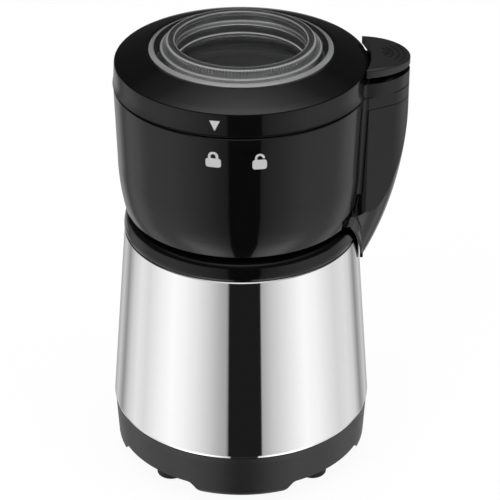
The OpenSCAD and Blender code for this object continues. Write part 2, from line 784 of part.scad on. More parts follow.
module micro_switch() {
    z1 = slider_foot_z - press_travel - seat;
    body_h = 11;
    back = rod_reach - rod_gap - seat + run_fit;
    color([0.75, 0.12, 0.1]) difference() {
        translate([back, -switch_l / 2, z1 - body_h])
            cube([rod_reach + rod_t + 1 - back, switch_l, body_h]);
        translate([rod_mid, 0, z1 - 8]) cylinder(r = plunger_r + run_fit, h = 9, $fn = 32);
    }
    // Terminals
    color([0.7, 0.6, 0.3]) for (y = [-6, 0, 6])
        translate([rod_mid - 0.4, y - 1.5, z1 - body_h - 5]) cube([0.8, 3, 5.2]);
}

module switch_slider() {
    color([0.85, 0.85, 0.83]) {
        translate([rod_reach, -rod_w / 2, slider_foot_z])
            cube([rod_t, rod_w, deck_z + seat - slider_foot_z]);
        translate([rod_reach, -rod_w / 2 - slider_wing, slider_foot_z])
            cube([rod_t, rod_w + 2 * slider_wing, 2]);
        translate([rod_mid, 0, slider_foot_z - 5]) cylinder(r = plunger_r, h = 5.1, $fn = 32);
    }
}

module motor_shaft() {
    color([0.7, 0.7, 0.72]) translate([0, 0, lower_bracket_z - bearing_h])
        cylinder(r = shaft_r, h = drive_top_z - lower_bracket_z + bearing_h);
}

module rotor_core() {
    color([0.4, 0.4, 0.42]) difference() {
        tube(armature_r, shaft_r + run_fit / 2, stack_z, stack_h);
        around(slot_count) translate([armature_r - 1, 0, stack_z - 1]) {
            translate([-3.4, 0, 0]) cylinder(r = 1.9, h = stack_h + 2, $fn = 32);
            translate([-2, -0.6, 0]) cube([4, 1.2, stack_h + 2]);
        }
    }
}

module rotor_windings() {
    color([0.72, 0.36, 0.15]) {
        for (z = [stack_z - winding_h, stack_z + stack_h + 0.05])
            tube(armature_r - 1.6, shaft_r + 1, z, winding_h - 0.05);
        around(slot_count) translate([armature_r - 4.4, 0, stack_z - 0.1])
            cylinder(r = 1.8, h = stack_h + 0.3, $fn = 32);
    }
}

module commutator() {
    color([0.78, 0.46, 0.2]) difference() {
        tube(commutator_r, shaft_r + run_fit / 2, commutator_z, commutator_h);
        around(2 * slot_count) translate([commutator_r - 0.6, -0.25, commutator_z - 1])
            cube([2, 0.5, commutator_h + 2]);
    }
}

module cooling_fan() {
    color([0.3, 0.32, 0.35]) {
        tube(fan_r, shaft_r + run_fit / 2, fan_z, 1.4);
        tube(shaft_r + 3, shaft_r + run_fit / 2, fan_z + 1.3, fan_h - 1.3);
        around(fan_blades) translate([shaft_r + 2.5, -0.6, fan_z + 1.3])
            cube([fan_r - shaft_r - 3, 1.2, fan_h - 1.3]);
    }
}

// The dogs of one coupling half, standing on a plate
module dogs(z, start) {
    around(dog_count, start) sector(coupler_r - 0.5, dog_inner_r, dog_angle, z, dog_h + 0.1);
}

module drive_coupler() {
    color([0.82, 0.82, 0.8]) difference() {
        union() {
            translate([0, 0, drive_z]) cylinder(r = coupler_r, h = coupler_t);
            dogs(drive_top_z - 0.1, 0);
            translate([0, 0, well_z + 1.2 + seat])
                cylinder(r = shaft_r + 2, h = drive_z - well_z - 1.2);
        }
        translate([0, 0, well_z]) cylinder(r = shaft_r + run_fit / 2, h = 20);
    }
}

module driven_coupler() {
    color([0.82, 0.82, 0.8]) difference() {
        union() {
            translate([0, 0, driven_z]) cylinder(r = coupler_r, h = coupler_t);
            dogs(driven_z - dog_h, 180 / dog_count);
        }
        translate([0, 0, driven_z - 1]) cylinder(r = spindle_r + run_fit / 2, h = coupler_t + 2);
    }
}

module cup_housing() {
    color([0.05, 0.05, 0.06]) difference() {
        union() {
            rotate_extrude() difference() {
                cup_form(0);
                translate([0, -floor_plate_t]) cup_form(cup_wall);
                translate([0, rim_z - 5]) square([cup_rim_r - cup_wall, 10]);
            }
            // Ledge that carries the bowl's rim
            rotate_extrude() intersection() {
                cup_form(cup_wall / 2);
                translate([ledge_in_r, bowl_top_z - bowl_t - run_fit - ledge_t])
                    square([12, ledge_t]);
            }
            around(lug_count, 45) sector(cup_rim_r - cup_wall / 2,
                cup_rim_r - cup_wall - 1.7, lug_angle, cup_lug_z, lug_t);
            difference() {
                translate([0, 0, cap_z]) linear_extrude(column_cap_h) difference() {
                    union() {
                        column_plan(0, sweep_x - 4);
                        column_fillets(cup_rim_r);
                    }
                    circle(r = cup_rim_r - cup_wall / 2);
                }
                translate([0, 0, cap_z - 1]) linear_extrude(column_cap_h - cup_wall + 1)
                    difference() {
                        column_plan(cup_wall, sweep_x);
                        circle(r = cup_rim_r);
                        translate([stem_reach, 0]) circle(r = stem_r + boss_wall);
                    }
            }
            fillet_ridges();
            // Shelf under the push rod's spring
            translate([cup_mid_r - cup_wall / 2, -5, shelf_z])
                cube([stem_reach + 4.4 - cup_mid_r + cup_wall / 2, 10, shelf_t]);
        }
        // Slot for the push rod's arm and the bore of its pin
        translate([rod_reach - 1, -rod_w / 2 - 0.4, arm_z - press_travel - 0.6])
            cube([stem_reach - rod_reach - 3, rod_w + 0.8, arm_t + press_travel + 1]);
        translate([stem_reach, 0, cap_z - 1]) cylinder(r = stem_r + run_fit, h = 20);
        for (side = [-1, 1]) translate([rod_reach, side * fin_screw_y, fin_screw_z])
            rotate([0, 90, 0]) cylinder(r = screw_r + 0.2, h = 12);
    }
}

module cup_floor() {
    top = plate_z + floor_plate_t;
    foot = recess_z + seat;
    plate_r = cup_r(plate_z + floor_plate_t) - cup_wall - seat;
    color([0.1, 0.1, 0.11]) difference() {
        union() {
            translate([0, 0, plate_z]) cylinder(r = plate_r, h = floor_plate_t);
            tube(recess_r - seat, recess_r - seat - locator_t, foot, cup_z - foot + 1);
            translate([0, 0, bush_flange_z + bush_flange_t + run_fit])
                cylinder(r = bush_r + 5, h = boss_top_z - bush_flange_z - bush_flange_t - run_fit);
            if (boss_top_z - top > 3.5) around(6, 30) translate([bush_r + 4, -0.8, top - 0.1])
                cube([recess_r - bush_r - 12, 1.6, boss_top_z - top - 2.5]);
        }
        translate([0, 0, foot - 20]) cylinder(r = bush_r + run_fit, h = 60);
        around(3, 60) translate([cup_screw_reach, 0, plate_z - 10])
            cylinder(r = screw_r + 0.2, h = 20);
        translate([rod_reach - rod_gap, -rod_w / 2 - rod_gap, plate_z - 1])
            cube([rod_t + 2 * rod_gap + 2, rod_w + 2 * rod_gap, floor_plate_t + 3]);
    }
    // Posts that the bowl's underside screws hold on to
    color([0.1, 0.1, 0.11]) around(3, 60) translate([cup_screw_reach, 0, 0])
        tube(screw_r + boss_wall, screw_r + run_fit, top - 0.05, 3);
}

module cup_screws() {
    color([0.6, 0.6, 0.62]) around(3, 60) translate([cup_screw_reach, 0, 0])
        screw_up(plate_z - 0.05, floor_plate_t + 3);
}

module grinding_bowl() {
    outer = bowl_r + bowl_t;
    color([0.78, 0.78, 0.8]) rotate_extrude() polygon(concat(
        [[bush_r + run_fit, bowl_floor_z - bowl_t], [outer - bowl_corner, bowl_floor_z - bowl_t]],
        arc([bowl_r - bowl_corner, bowl_floor_z + bowl_corner],
            bowl_corner + bowl_t, -90, 0, 8),
        [[outer, bowl_top_z - bowl_t], [bowl_flange_r, bowl_top_z - bowl_t],
        [bowl_flange_r, bowl_top_z], [bowl_r, bowl_top_z]],
        arc([bowl_r - bowl_corner, bowl_floor_z + bowl_corner], bowl_corner, 0, -90, 8),
        [[bush_r + run_fit, bowl_floor_z]]));
}

module bowl_gasket() {
    color([0.35, 0.1, 0.08]) tube(bush_r + 4.6, bush_r + run_fit,
        boss_top_z + 0.02, gasket_t - 0.04);
}

module shaft_bush() {
    color([0.72, 0.58, 0.3]) difference() {
        union() {
            translate([0, 0, bush_flange_z]) cylinder(r = bush_r, h = bush_top_z - bush_flange_z);
            translate([0, 0, bush_flange_z]) cylinder(r = bush_r + 4, h = bush_flange_t);
        }
        translate([0, 0, bush_flange_z - 1])
            cylinder(r = spindle_r + run_fit, h = bush_top_z - bush_flange_z + 2);
    }
}

module bowl_nut() {
    color([0.7, 0.7, 0.72]) translate([0, 0, bowl_floor_z + 0.03]) difference() {
        cylinder(r = bush_r + 3.6, h = nut_h, $fn = 6);
        translate([0, 0, -1]) cylinder(r = bush_r + run_fit, h = nut_h + 2);
    }
}

module fin_cover() {
    color([0.06, 0.06, 0.07]) difference() {
        union() {
            difference() {
                union() {
                    column_body(0, tip_z, fin_top_z);
                    // Flare that laps round the cup's lower edge
                    intersection() {
                        rotate_extrude() polygon(concat(
                            [[cup_foot_r - 3, tip_z], [tip_in_r + flare_t, tip_z],
                            [tip_in_r + flare_t, cup_z - 5]],
                            [for (i = [0:4]) let (z = cup_z + 6 + i * 2) [cup_r(z) + 0.7, z]],
                            [[cup_foot_r - 3, cup_z + 14]]));
                        rotate([90, 0, 90]) linear_extrude(nose_reach) flare_outline();
                    }
                }
                column_body(fin_wall, cup_z - 4, fin_top_z + 1);
            }
            intersection() {
                column_body(fin_wall / 2, tip_z, fin_top_z);
                for (side = [-1, 1])
                    translate([cup_foot_r, side * fin_screw_y, fin_screw_z])
                    rotate([0, 90, 0]) cylinder(r = fin_boss_r, h = 24);
            }
        }
        rotate_extrude() intersection() {
            union() {
                cup_form(-0.1);
                translate([0, tip_z - 1]) square([tip_in_r, cup_z - tip_z + 1.1]);
            }
            translate([0, tip_z - 2]) square([100, 100]);
        }
        corners(seam, ridge_z - seam);
        for (side = [-1, 1]) translate([cup_foot_r - 2, side * fin_screw_y, fin_screw_z])
            rotate([0, 90, 0]) cylinder(r = screw_r + run_fit, h = 14);
    }
}

module fin_screws() {
    inner = sqrt(pow(cup_mid_r - cup_wall - 1, 2) - fin_screw_y * fin_screw_y);
    color([0.6, 0.6, 0.62]) for (side = [-1, 1])
        translate([inner, side * fin_screw_y, fin_screw_z]) rotate([0, 90, 0]) {
            translate([0, 0, -screw_head_h - 0.05]) cylinder(r = screw_head_r, h = screw_head_h);
            translate([0, 0, -0.2]) cylinder(r = screw_r, h = 12);
        }
}

module push_rod() {
    foot = deck_z + 2 * seat;
    color([0.85, 0.85, 0.83]) {
        translate([rod_reach, -rod_w / 2, foot]) cube([rod_t, rod_w, arm_z + arm_t - foot]);
        translate([rod_reach, -rod_w / 2, arm_z])
            cube([stem_reach - rod_reach, rod_w, arm_t]);
        translate([stem_reach, 0, arm_z]) cylinder(r = rod_w / 2, h = arm_t);
        translate([stem_reach, 0, arm_z]) cylinder(r = stem_r, h = cap_top_z - arm_z);
        translate([stem_reach, 0, arm_z - 5]) cylinder(r = 2.2, h = 6);
    }
}

module rod_spring() {
    color([0.75, 0.75, 0.78]) spring(stem_reach, 3.2, shelf_z + shelf_t + 0.1, arm_z - 0.1, 8);
}

module blade_shaft() {
    color([0.7, 0.7, 0.72]) translate([0, 0, driven_z])
        cylinder(r = spindle_r, h = bush_top_z + 8 - driven_z);
}

// Height at which the blade sits on its washer
function blade_z() = bush_top_z + 1.6;

module blade() {
    bend_x = 12;
    color([0.8, 0.8, 0.82]) translate([0, 0, blade_z()]) difference() {
        union() {
            translate([-bend_x - 0.3, -blade_w / 2, 0]) cube([2 * bend_x + 0.6, blade_w, blade_t]);
            around(2) intersection() {
                translate([bend_x, 0, 0]) rotate([blade_pitch, -blade_bend, 0]) difference() {
                    translate([-0.6, -blade_w / 2, 0]) cube([blade_r, blade_w, blade_t]);
                    // Ground cutting edge on the leading side
                    translate([2, blade_w / 2, 0.3]) rotate([28, 0, 0])
                        translate([0, -4, 0]) cube([blade_r, 8, 4]);
                }
                translate([0, 0, -6]) cylinder(r = blade_r, h = 30);
            }
        }
        translate([0, 0, -1]) cylinder(r = spindle_r + run_fit / 2, h = blade_t + 2);
    }
}

module blade_washer() {
    color([0.68, 0.68, 0.7]) tube(spindle_r + 4, spindle_r + run_fit / 2,
        bush_top_z + seat, blade_z() - bush_top_z - seat - 0.02);
}

module cap_nut() {
    z = blade_z() + blade_t + 0.02;
    color([0.75, 0.75, 0.77]) difference() {
        union() {
            translate([0, 0, z]) cylinder(r = spindle_r + 3.4, h = 4, $fn = 6);
            translate([0, 0, z + 3]) intersection() {
                sphere(r = spindle_r + 2.3);
                cylinder(r = 10, h = 10);
            }
        }
        translate([0, 0, z - 1]) cylinder(r = spindle_r + run_fit / 2, h = 6.2);
    }
}

module lid_ring() {
    skirt_in = skirt_out_r - skirt_t;
    tray_wall = 1.8;
    color([0.05, 0.05, 0.06]) difference() {
        union() {
            rotate_extrude() union() {
                polygon(concat(
                    [[cup_rim_r - rim_chamfer, lid_z], [cup_rim_r + 0.3, lid_z + 0.6],
                    [cup_rim_r, lid_z + 1.2]],
                    arc([lid_crease_r - 0.8, crease_z - 0.8], 0.8, 0, 70, 4),
                    [[window_r + 1.2, lid_top_z], [window_r + 0.1, lid_top_z - 0.2],
                    [window_r + 0.1, rebate_z], [ring_hole_r, rebate_z],
                    [ring_hole_r, rebate_z - lid_wall],
                    [window_r + 2, rebate_z - lid_wall], [lid_crease_r - lid_wall,
                    crease_z - lid_wall], [cup_rim_r - lid_wall, lid_z]]));
                translate([skirt_in, lid_lug_z])
                    square([skirt_t, rebate_z + 0.6 - lid_lug_z]);
                translate([bowl_r - 1, web_z]) square([skirt_out_r - bowl_r + 0.5, web_t]);
                translate([bowl_r - 1, bowl_top_z + 2]) square([1.2, web_z - bowl_top_z - 1]);
            }
            around(lug_count, 45) sector(lug_reach, skirt_out_r - 0.5,
                lug_angle, lid_lug_z, lug_t);
            // The lid's part of the column: a tray with a guide for the button's stem
            difference() {
                translate([0, 0, tray_z]) linear_extrude(tray_h) difference() {
                    union() {
                        column_plan(0, sweep_x);
                        column_fillets(cup_rim_r);
                    }
                    circle(r = cup_rim_r - lid_wall / 2);
                }
                translate([0, 0, tray_z + lid_wall]) linear_extrude(tray_h) difference() {
                    column_plan(tray_wall, sweep_x);
                    circle(r = cup_rim_r + 0.8);
                    translate([stem_reach, 0]) circle(r = stem_r + boss_wall);
                }
                translate([0, 0, guide_top_z]) linear_extrude(tray_h) difference() {
                    translate([stem_reach, 0]) circle(r = stem_r + boss_wall + 0.5);
                    circle(r = cup_rim_r + 0.8);
                }
            }
        }
        translate([stem_reach, 0, tray_z - 1]) cylinder(r = stem_r + run_fit, h = 20);
    }
}

module lid_window() {
    top = lid_top_z + window_ring_h;
    floor_z = top - window_recess_depth;
    color([0.85, 0.87, 0.88, 0.4]) rotate_extrude() polygon(concat(
        [[0, floor_z - window_t], [window_recess_r + window_t - 1, floor_z - window_t],
        [window_recess_r + window_t, floor_z - window_t + 1],
        [window_recess_r + window_t, lid_top_z - window_t],
        [window_r - 0.2, lid_top_z - window_t], [window_r - 0.2, lid_top_z - 0.9],
        [window_r - 1.8, lid_top_z], [window_ring_r + 1.4, lid_top_z - 0.3],
        [window_ring_r, lid_top_z + 0.3]],
        arc([window_recess_r + 2.2, top - 0.9], 0.9, 20, 160, 6),
        [[window_recess_r, floor_z + 1], [window_recess_r - 1, floor_z], [0, floor_z]]));
}

module window_gasket() {
    color([0.12, 0.12, 0.13]) tube(window_r - 0.4, ring_hole_r + 0.4,
        rebate_z + 0.02, gasket_t - 0.04);
}

module lid_seal() {
    color([0.2, 0.2, 0.21]) rotate_extrude() polygon([
        [bowl_r + 0.5, bowl_top_z + seat], [skirt_out_r - skirt_t - 0.3, bowl_top_z + seat],
        [skirt_out_r - skirt_t - 0.3, bowl_top_z + seat + seal_h],
        [bowl_r + 0.5, bowl_top_z + seat + seal_h]]);
}

module button() {
    wall = 1.6;
    inner_r = cup_rim_r + seat + 0.3;
    big = flank_r(button_r, button_x, button_half_w);
    color([0.17, 0.17, 0.18]) {
        difference() {
            intersection() {
                translate([0, 0, button_z]) union() {
                    translate([button_x, 0, 0]) puck(button_r, button_h, button_edge);
                    intersection() {
                        translate([flank_x, button_half_w - big, 0])
                            puck(big, button_h, button_edge);
                        translate([flank_x, big - button_half_w, 0])
                            puck(big, button_h, button_edge);
                        linear_extrude(button_h)
                            flank_field(button_r, button_x, button_half_w, sweep_x);
                    }
                }
                // The top falls towards the nose along a shallow arc
                translate([crown_x, 0, button_top_z - crown_r]) rotate([90, 0, 0])
                    cylinder(r = crown_r, h = 3 * button_r, center = true, $fn = 360);
            }
            translate([0, 0, button_z - 1]) cylinder(r = inner_r, h = button_h + 2);
            translate([0, 0, button_z - 1]) linear_extrude(button_h - wall + 1) {
                difference() {
                    union() {
                        translate([button_x, 0]) circle(r = button_r - wall);
                        intersection() {
                            translate([flank_x, button_half_w - big])
                                circle(r = big - wall);
                            translate([flank_x, big - button_half_w])
                                circle(r = big - wall);
                            flank_field(button_r, button_x, button_half_w, sweep_x);
                        }
                    }
                    circle(r = inner_r + wall);
                }
                translate([stem_reach, 0]) circle(r = button_coil_r + wire_r + seat);
            }
        }
        translate([stem_reach, 0, cap_top_z + seat])
            cylinder(r = stem_r, h = button_top_z - cap_top_z - seat - 0.5);
    }
}

module button_spring() {
    color([0.75, 0.75, 0.78]) spring(stem_reach, button_coil_r,
        guide_top_z + 0.1, button_top_z - 1.7, 4);
}

rubber_feet();
base_ring();
bottom_cover();
bottom_screws();
cord_gland();
steel_shell();
collar();
shaft_seal();
upper_bracket();
lower_bracket();
motor_bolts();
bracket_screws();
motor_bearings();
stator_core();
field_coils();
brush_holders();
carbon_brushes();
micro_switch();
switch_slider();
motor_shaft();
rotor_core();
rotor_windings();
commutator();
cooling_fan();
drive_coupler();
cup_housing();
cup_floor();
cup_screws();
grinding_bowl();
bowl_gasket();
shaft_bush();
bowl_nut();
fin_cover();
fin_screws();
push_rod();
rod_spring();
blade_shaft();
blade();
blade_washer();
cap_nut();
driven_coupler();
lid_ring();
lid_window();
window_gasket();
lid_seal();
button();
button_spring();
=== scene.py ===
from math import cos, pi, radians, sin

import bmesh
import bpy
import numpy as np
from mathutils import Euler, Matrix


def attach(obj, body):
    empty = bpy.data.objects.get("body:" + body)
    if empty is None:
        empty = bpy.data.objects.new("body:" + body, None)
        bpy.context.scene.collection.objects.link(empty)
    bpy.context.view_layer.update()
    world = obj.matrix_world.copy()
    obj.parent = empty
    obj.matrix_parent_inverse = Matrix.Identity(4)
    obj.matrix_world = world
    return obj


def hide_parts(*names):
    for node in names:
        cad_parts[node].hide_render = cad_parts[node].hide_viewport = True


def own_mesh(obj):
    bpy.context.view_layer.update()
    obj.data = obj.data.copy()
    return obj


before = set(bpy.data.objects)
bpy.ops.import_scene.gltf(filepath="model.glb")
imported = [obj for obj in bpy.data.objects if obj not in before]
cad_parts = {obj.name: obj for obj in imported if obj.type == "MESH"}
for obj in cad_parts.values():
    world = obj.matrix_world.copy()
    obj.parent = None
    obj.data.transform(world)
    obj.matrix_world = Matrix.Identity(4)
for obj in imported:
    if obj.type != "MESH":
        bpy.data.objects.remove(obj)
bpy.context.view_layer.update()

# ---- Camera --------------------------------------------------------------------------------
# A long lens 1 m away, looking 30 degrees down at the front of the grinder and turned a
# little to its left, so that the column stands at the right edge.
YAW, PITCH, ROLL = radians(-0.7), radians(30), radians(0.12)
LENS_MM, SENSOR_MM = 158.83, 36
DISTANCE, AIM_HEIGHT, AIM_SHIFT = 1.0, 0.0995, 0.0040
camera = bpy.data.objects.new("camera", bpy.data.cameras.new("camera"))
bpy.context.scene.collection.objects.link(camera)
camera.data.lens = LENS_MM
camera.data.sensor_width = SENSOR_MM
camera.data.clip_start = 0.05
sideways = np.array([cos(YAW), sin(YAW), 0])
ahead = np.array([-sin(YAW) * cos(PITCH), cos(YAW) * cos(PITCH), -sin(PITCH)])
camera.location = AIM_SHIFT * sideways + [0, 0, AIM_HEIGHT] - DISTANCE * ahead
level = Euler((pi / 2 - PITCH, 0, YAW)).to_matrix()
camera.rotation_euler = (level @ Matrix.Rotation(ROLL, 3, "Z")).to_euler()
bpy.context.scene.camera = camera
bpy.context.scene.view_settings.view_transform = "Standard"

# ---- Studio: light tent, floor and lamps ---------------------------------------------------
# A white tent round the table with a dark gap at its front, dark above eye height and
# bright overhead. The floor is a pale sheet, and two soft lamps stand over it.

# The tent's greys, each with its azimuth in degrees from the front.
TENT = [(-180, 0.30), (-150, 0.62), (-136, 0.30), (-123, 0.68), (-110, 0.86),
        (-97, 0.78), (-80, 0.98), (-66, 1.10), (-54, 1.02), (-42, 0.88), (-30, 0.68),
        (-20, 0.48), (-12.8, 0.38), (-12.3, 0.012), (17.5, 0.012), (18, 0.42), (27, 0.62),
        (42, 0.85), (54, 1.02), (60, 1.08), (73, 1.0), (87, 0.84), (97, 0.74),
        (113, 0.80), (124, 0.70), (136, 0.28), (152, 0.62), (180, 0.30)]
OVERHEAD, UNDERFOOT, SEEN_THROUGH_GLASS = 2.4, 2.4, 0.1
WHITE = (1.0, 1.0, 1.0, 1.0)
FLOOR_SIDE, FLOOR_Z = 6.0, -0.0012
FLOOR_GREY, FLOOR_GLOW, FLOOR_SHARE = 0.82, 1.04, 0.9


def ramp(tree, factor, stops):
    """A colour ramp node over stops of (place from 0 to 1, grey)."""
    node = tree.nodes.new("ShaderNodeValToRGB")
    tree.links.new(factor, node.inputs[0])
    while len(node.color_ramp.elements) < len(stops):
        node.color_ramp.elements.new(0.5)
    for element, (place, _) in zip(node.color_ramp.elements, stops):
        element.position = place
    for element, (place, grey) in zip(node.color_ramp.elements, stops):
        element.position = place
        element.color = (grey, grey, grey, 1)
    return node.outputs[0]


def maths(tree, operation, a, b=0.0):
    """One Math node; a and b are sockets or numbers."""
    node = tree.nodes.new("ShaderNodeMath")
    node.operation = operation
    for socket, value in zip(node.inputs, (a, b)):
        if isinstance(value, (int, float)):
            socket.default_value = value
        else:
            tree.links.new(value, socket)
    return node.outputs[0]


def mix(tree, factor, a, b):
    """Colour a at factor 0 and b at factor 1."""
    node = tree.nodes.new("ShaderNodeMix")
    node.data_type = "RGBA"
    for socket, value in ((node.inputs[0], factor), (node.inputs[6], a), (node.inputs[7], b)):
        if isinstance(value, (int, float, tuple)):
            socket.default_value = value
        else:
            tree.links.new(value, socket)
    return node.outputs[2]


def studio_world():
    """Grey by azimuth up to eye height, and straight behind only up to 12 degrees below
    it; then dark to 40 degrees up, and white overhead. What the camera sees directly is
    plain white."""
    world = bpy.data.worlds.new("studio")
    bpy.context.scene.world = world
    world.use_nodes = True
    tree = world.node_tree
    tree.nodes.clear()
    place = tree.nodes.new("ShaderNodeTexCoord").outputs["Generated"]
    split = tree.nodes.new("ShaderNodeSeparateXYZ")
    tree.links.new(place, split.inputs[0])
    back = maths(tree, "MULTIPLY", split.outputs[1], -1.0)
    turn = maths(tree, "ARCTAN2", split.outputs[0], back)
    turn = maths(tree, "ADD", maths(tree, "DIVIDE", turn, 2 * pi), 0.5)
    low = ramp(tree, turn, [(a / 360 + 0.5, g) for a, g in TENT])
    height = maths(tree, "ADD", maths(tree, "MULTIPLY", split.outputs[2], 0.5), 0.5)
    high = ramp(tree, height, [(0.4, 0.02), (0.8, 0.02), (0.88, 0.10), (0.922, 0.31),
                               (0.945, 0.5), (0.974, 0.9), (1.0, 1.0)])
    sides = ramp(tree, split.outputs[1], [(0.88, 0.14), (0.95, 0.0)])
    above = ramp(tree, maths(tree, "SUBTRACT", height, sides), [(0.36, 0.0), (0.41, 1.0)])
    tent = mix(tree, above, low, high)
    steep = ramp(tree, height, [(0.05, 1.0), (0.12, 0.5), (0.165, 0.0)])
    front = ramp(tree, back, [(0.1, 0.0), (0.35, UNDERFOOT - 1)])
    near = maths(tree, "ADD", maths(tree, "MULTIPLY", steep, front), 1.0)
    strength = mix(tree, above, near, (OVERHEAD, OVERHEAD, OVERHEAD, 1.0))
    seen = tree.nodes.new("ShaderNodeLightPath")
    white = maths(tree, "MAXIMUM", seen.outputs["Is Camera Ray"],
                  maths(tree, "MULTIPLY", seen.outputs["Is Transmission Ray"],
                        SEEN_THROUGH_GLASS))
    strength = mix(tree, white, strength, WHITE)
    glow = tree.nodes.new("ShaderNodeBackground")
    tree.links.new(mix(tree, white, tent, WHITE), glow.inputs[0])
    tree.links.new(strength, glow.inputs[1])
    out = tree.nodes.new("ShaderNodeOutputWorld")
    tree.links.new(glow.outputs[0], out.inputs[0])


def floor_material():
    """Pale paper: matt, with a share of its own white for what the camera sees, so that
    it meets the background and still keeps the shadow."""
    mat = bpy.data.materials.new("pale_paper")
    mat.use_nodes = True
    tree = mat.node_tree
    tree.nodes.clear()
    paper = tree.nodes.new("ShaderNodeBsdfDiffuse")
    paper.inputs[0].default_value = (FLOOR_GREY, FLOOR_GREY, FLOOR_GREY, 1)
    glow = tree.nodes.new("ShaderNodeEmission")
    glow.inputs[1].default_value = FLOOR_GLOW
    seen = tree.nodes.new("ShaderNodeLightPath")
    share = maths(tree, "MULTIPLY", seen.outputs["Is Camera Ray"], FLOOR_SHARE)
    both = tree.nodes.new("ShaderNodeMixShader")
    tree.links.new(share, both.inputs[0])
    tree.links.new(paper.outputs[0], both.inputs[1])
    tree.links.new(glow.outputs[0], both.inputs[2])
    out = tree.nodes.new("ShaderNodeOutputMaterial")
    tree.links.new(both.outputs[0], out.inputs[0])
    return mat


def lamp(name, place, aim, side, watts):
    """A square soft box at place, turned towards aim."""
    data = bpy.data.lights.new(name, "AREA")
    data.size = side
    data.energy = watts
    box = bpy.data.objects.new(name, data)
    bpy.context.scene.collection.objects.link(box)
    box.location = place
    way = np.array(aim) - np.array(place)
    yaw = np.arctan2(way[1], way[0]) - pi / 2
    box.rotation_euler = (np.arctan2(np.hypot(way[0], way[1]), -way[2]), 0, yaw)
    box.visible_glossy = False


studio_world()
sheet = bpy.data.meshes.new("floor")
sheet.from_pydata([(x * FLOOR_SIDE / 2, y * FLOOR_SIDE / 2, FLOOR_Z)
                   for x, y in ((-1, -1), (1, -1), (1, 1), (-1, 1))], [], [(0, 1, 2, 3)])
floor = bpy.data.objects.new("floor", sheet)
bpy.context.scene.collection.objects.link(floor)
sheet.materials.append(floor_material())
floor.visible_glossy = False
floor.visible_transmission = False
lamp("key", (-0.7, -0.9, 1.2), (0, 0, 0.12), 0.7, 5.0)
lamp("fill", (0.9, -0.6, 0.8), (0, 0, 0.12), 0.8, 2.5)

# ---- Base ring, bottom cover and cup floor -------------------------------------------------
# Moulded ABS with a fine spark-eroded grain, satin. The ring snaps under the steel
# shell; the cover is screwed on from below.


def finish(name, colour, rough, metal=0.0, **sockets):
    """A Principled material with its constants on the shader's own sockets."""
    mat = bpy.data.materials.new(name)
    mat.use_nodes = True
    shader = mat.node_tree.nodes["Principled BSDF"]
    shader.inputs["Base Color"].default_value = (*colour, 1)
    shader.inputs["Roughness"].default_value = rough
    shader.inputs["Metallic"].default_value = metal
    for socket, value in sockets.items():
        shader.inputs[socket.replace("_", " ")].default_value = value
    return mat


def noise(mat, scale, detail=3.0, stretch=(1, 1, 1), distortion=0.0):
    """Noise on the piece's own coordinates, stretched by a Mapping node."""
    tree = mat.node_tree
    place = tree.nodes.new("ShaderNodeTexCoord").outputs["Object"]
    mapping = tree.nodes.new("ShaderNodeMapping")
    mapping.inputs["Scale"].default_value = stretch
    tree.links.new(place, mapping.inputs["Vector"])
    cloud = tree.nodes.new("ShaderNodeTexNoise")
    cloud.inputs["Scale"].default_value = scale
    cloud.inputs["Detail"].default_value = detail
    cloud.inputs["Distortion"].default_value = distortion
    tree.links.new(mapping.outputs[0], cloud.inputs["Vector"])
    return cloud.outputs["Fac"]


def tint(mat, factor, dark, light):
    """Base colour from dark to light along factor."""
    tree = mat.node_tree
    shader = tree.nodes["Principled BSDF"]
    ends = [(*dark, 1), (*light, 1)]
    tree.links.new(mix(tree, factor, *ends), shader.inputs["Base Color"])


def gloss_range(mat, factor, low, high):
    """Roughness from low to high along factor."""
    tree = mat.node_tree
    spread = tree.nodes.new("ShaderNodeMapRange")
    spread.inputs["To Min"].default_value = low
    spread.inputs["To Max"].default_value = high
    tree.links.new(factor, spread.inputs["Value"])
    tree.links.new(spread.outputs[0], tree.nodes["Principled BSDF"].inputs["Roughness"])


def relief(mat, height, depth, edge=0.0):
    """Bump of the given depth in metres, over edges softened to the radius edge."""
    tree = mat.node_tree
    bump = tree.nodes.new("ShaderNodeBump")
    bump.inputs["Distance"].default_value = depth
    tree.links.new(height, bump.inputs["Height"])
    if edge:
        soft = tree.nodes.new("ShaderNodeBevel")
        soft.samples = 4
        soft.inputs["Radius"].default_value = edge
        tree.links.new(soft.outputs[0], bump.inputs["Normal"])
    tree.links.new(bump.outputs[0], tree.nodes["Principled BSDF"].inputs["Normal"])
    return mat


def moulded(name, dark, light, rough, grain=0.00002, edge=0.0004, **sockets):
    """Moulded plastic: cloudy tone, uneven sheen and a fine grain."""
    mat = finish(name, light, rough, **sockets)
    tint(mat, noise(mat, 45), dark, light)
    gloss_range(mat, noise(mat, 160, 5), rough - 0.05, rough + 0.06)
    return relief(mat, noise(mat, 2600, 2), grain, edge)


def coat(material, *names):
    """Puts one material on CAD nodes."""
    for name in names:
        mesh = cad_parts[name].data
        mesh.materials.clear()
        mesh.materials.append(material)


coat(moulded("satin_grey_abs", (0.015, 0.015, 0.016), (0.019, 0.019, 0.020), 0.34,
             Specular_IOR_Level=0.4), "base_ring")
coat(moulded("inner_black_abs", (0.02, 0.02, 0.022), (0.027, 0.027, 0.029), 0.5),
     "bottom_cover", "cup_floor")

# ---- Feet, cord outlet's sleeve and window gasket ------------------------------------------
# Soft black rubber, moulded, dull and slightly dusty. The feet's stems are pressed into
# the bottom cover, the sleeve snaps through the ring's wall, and the gasket lies in the lid.
coat(moulded("black_rubber", (0.012, 0.012, 0.012), (0.022, 0.022, 0.022), 0.72, 0.00003),
     "rubber_feet", "cord_gland", "window_gasket")

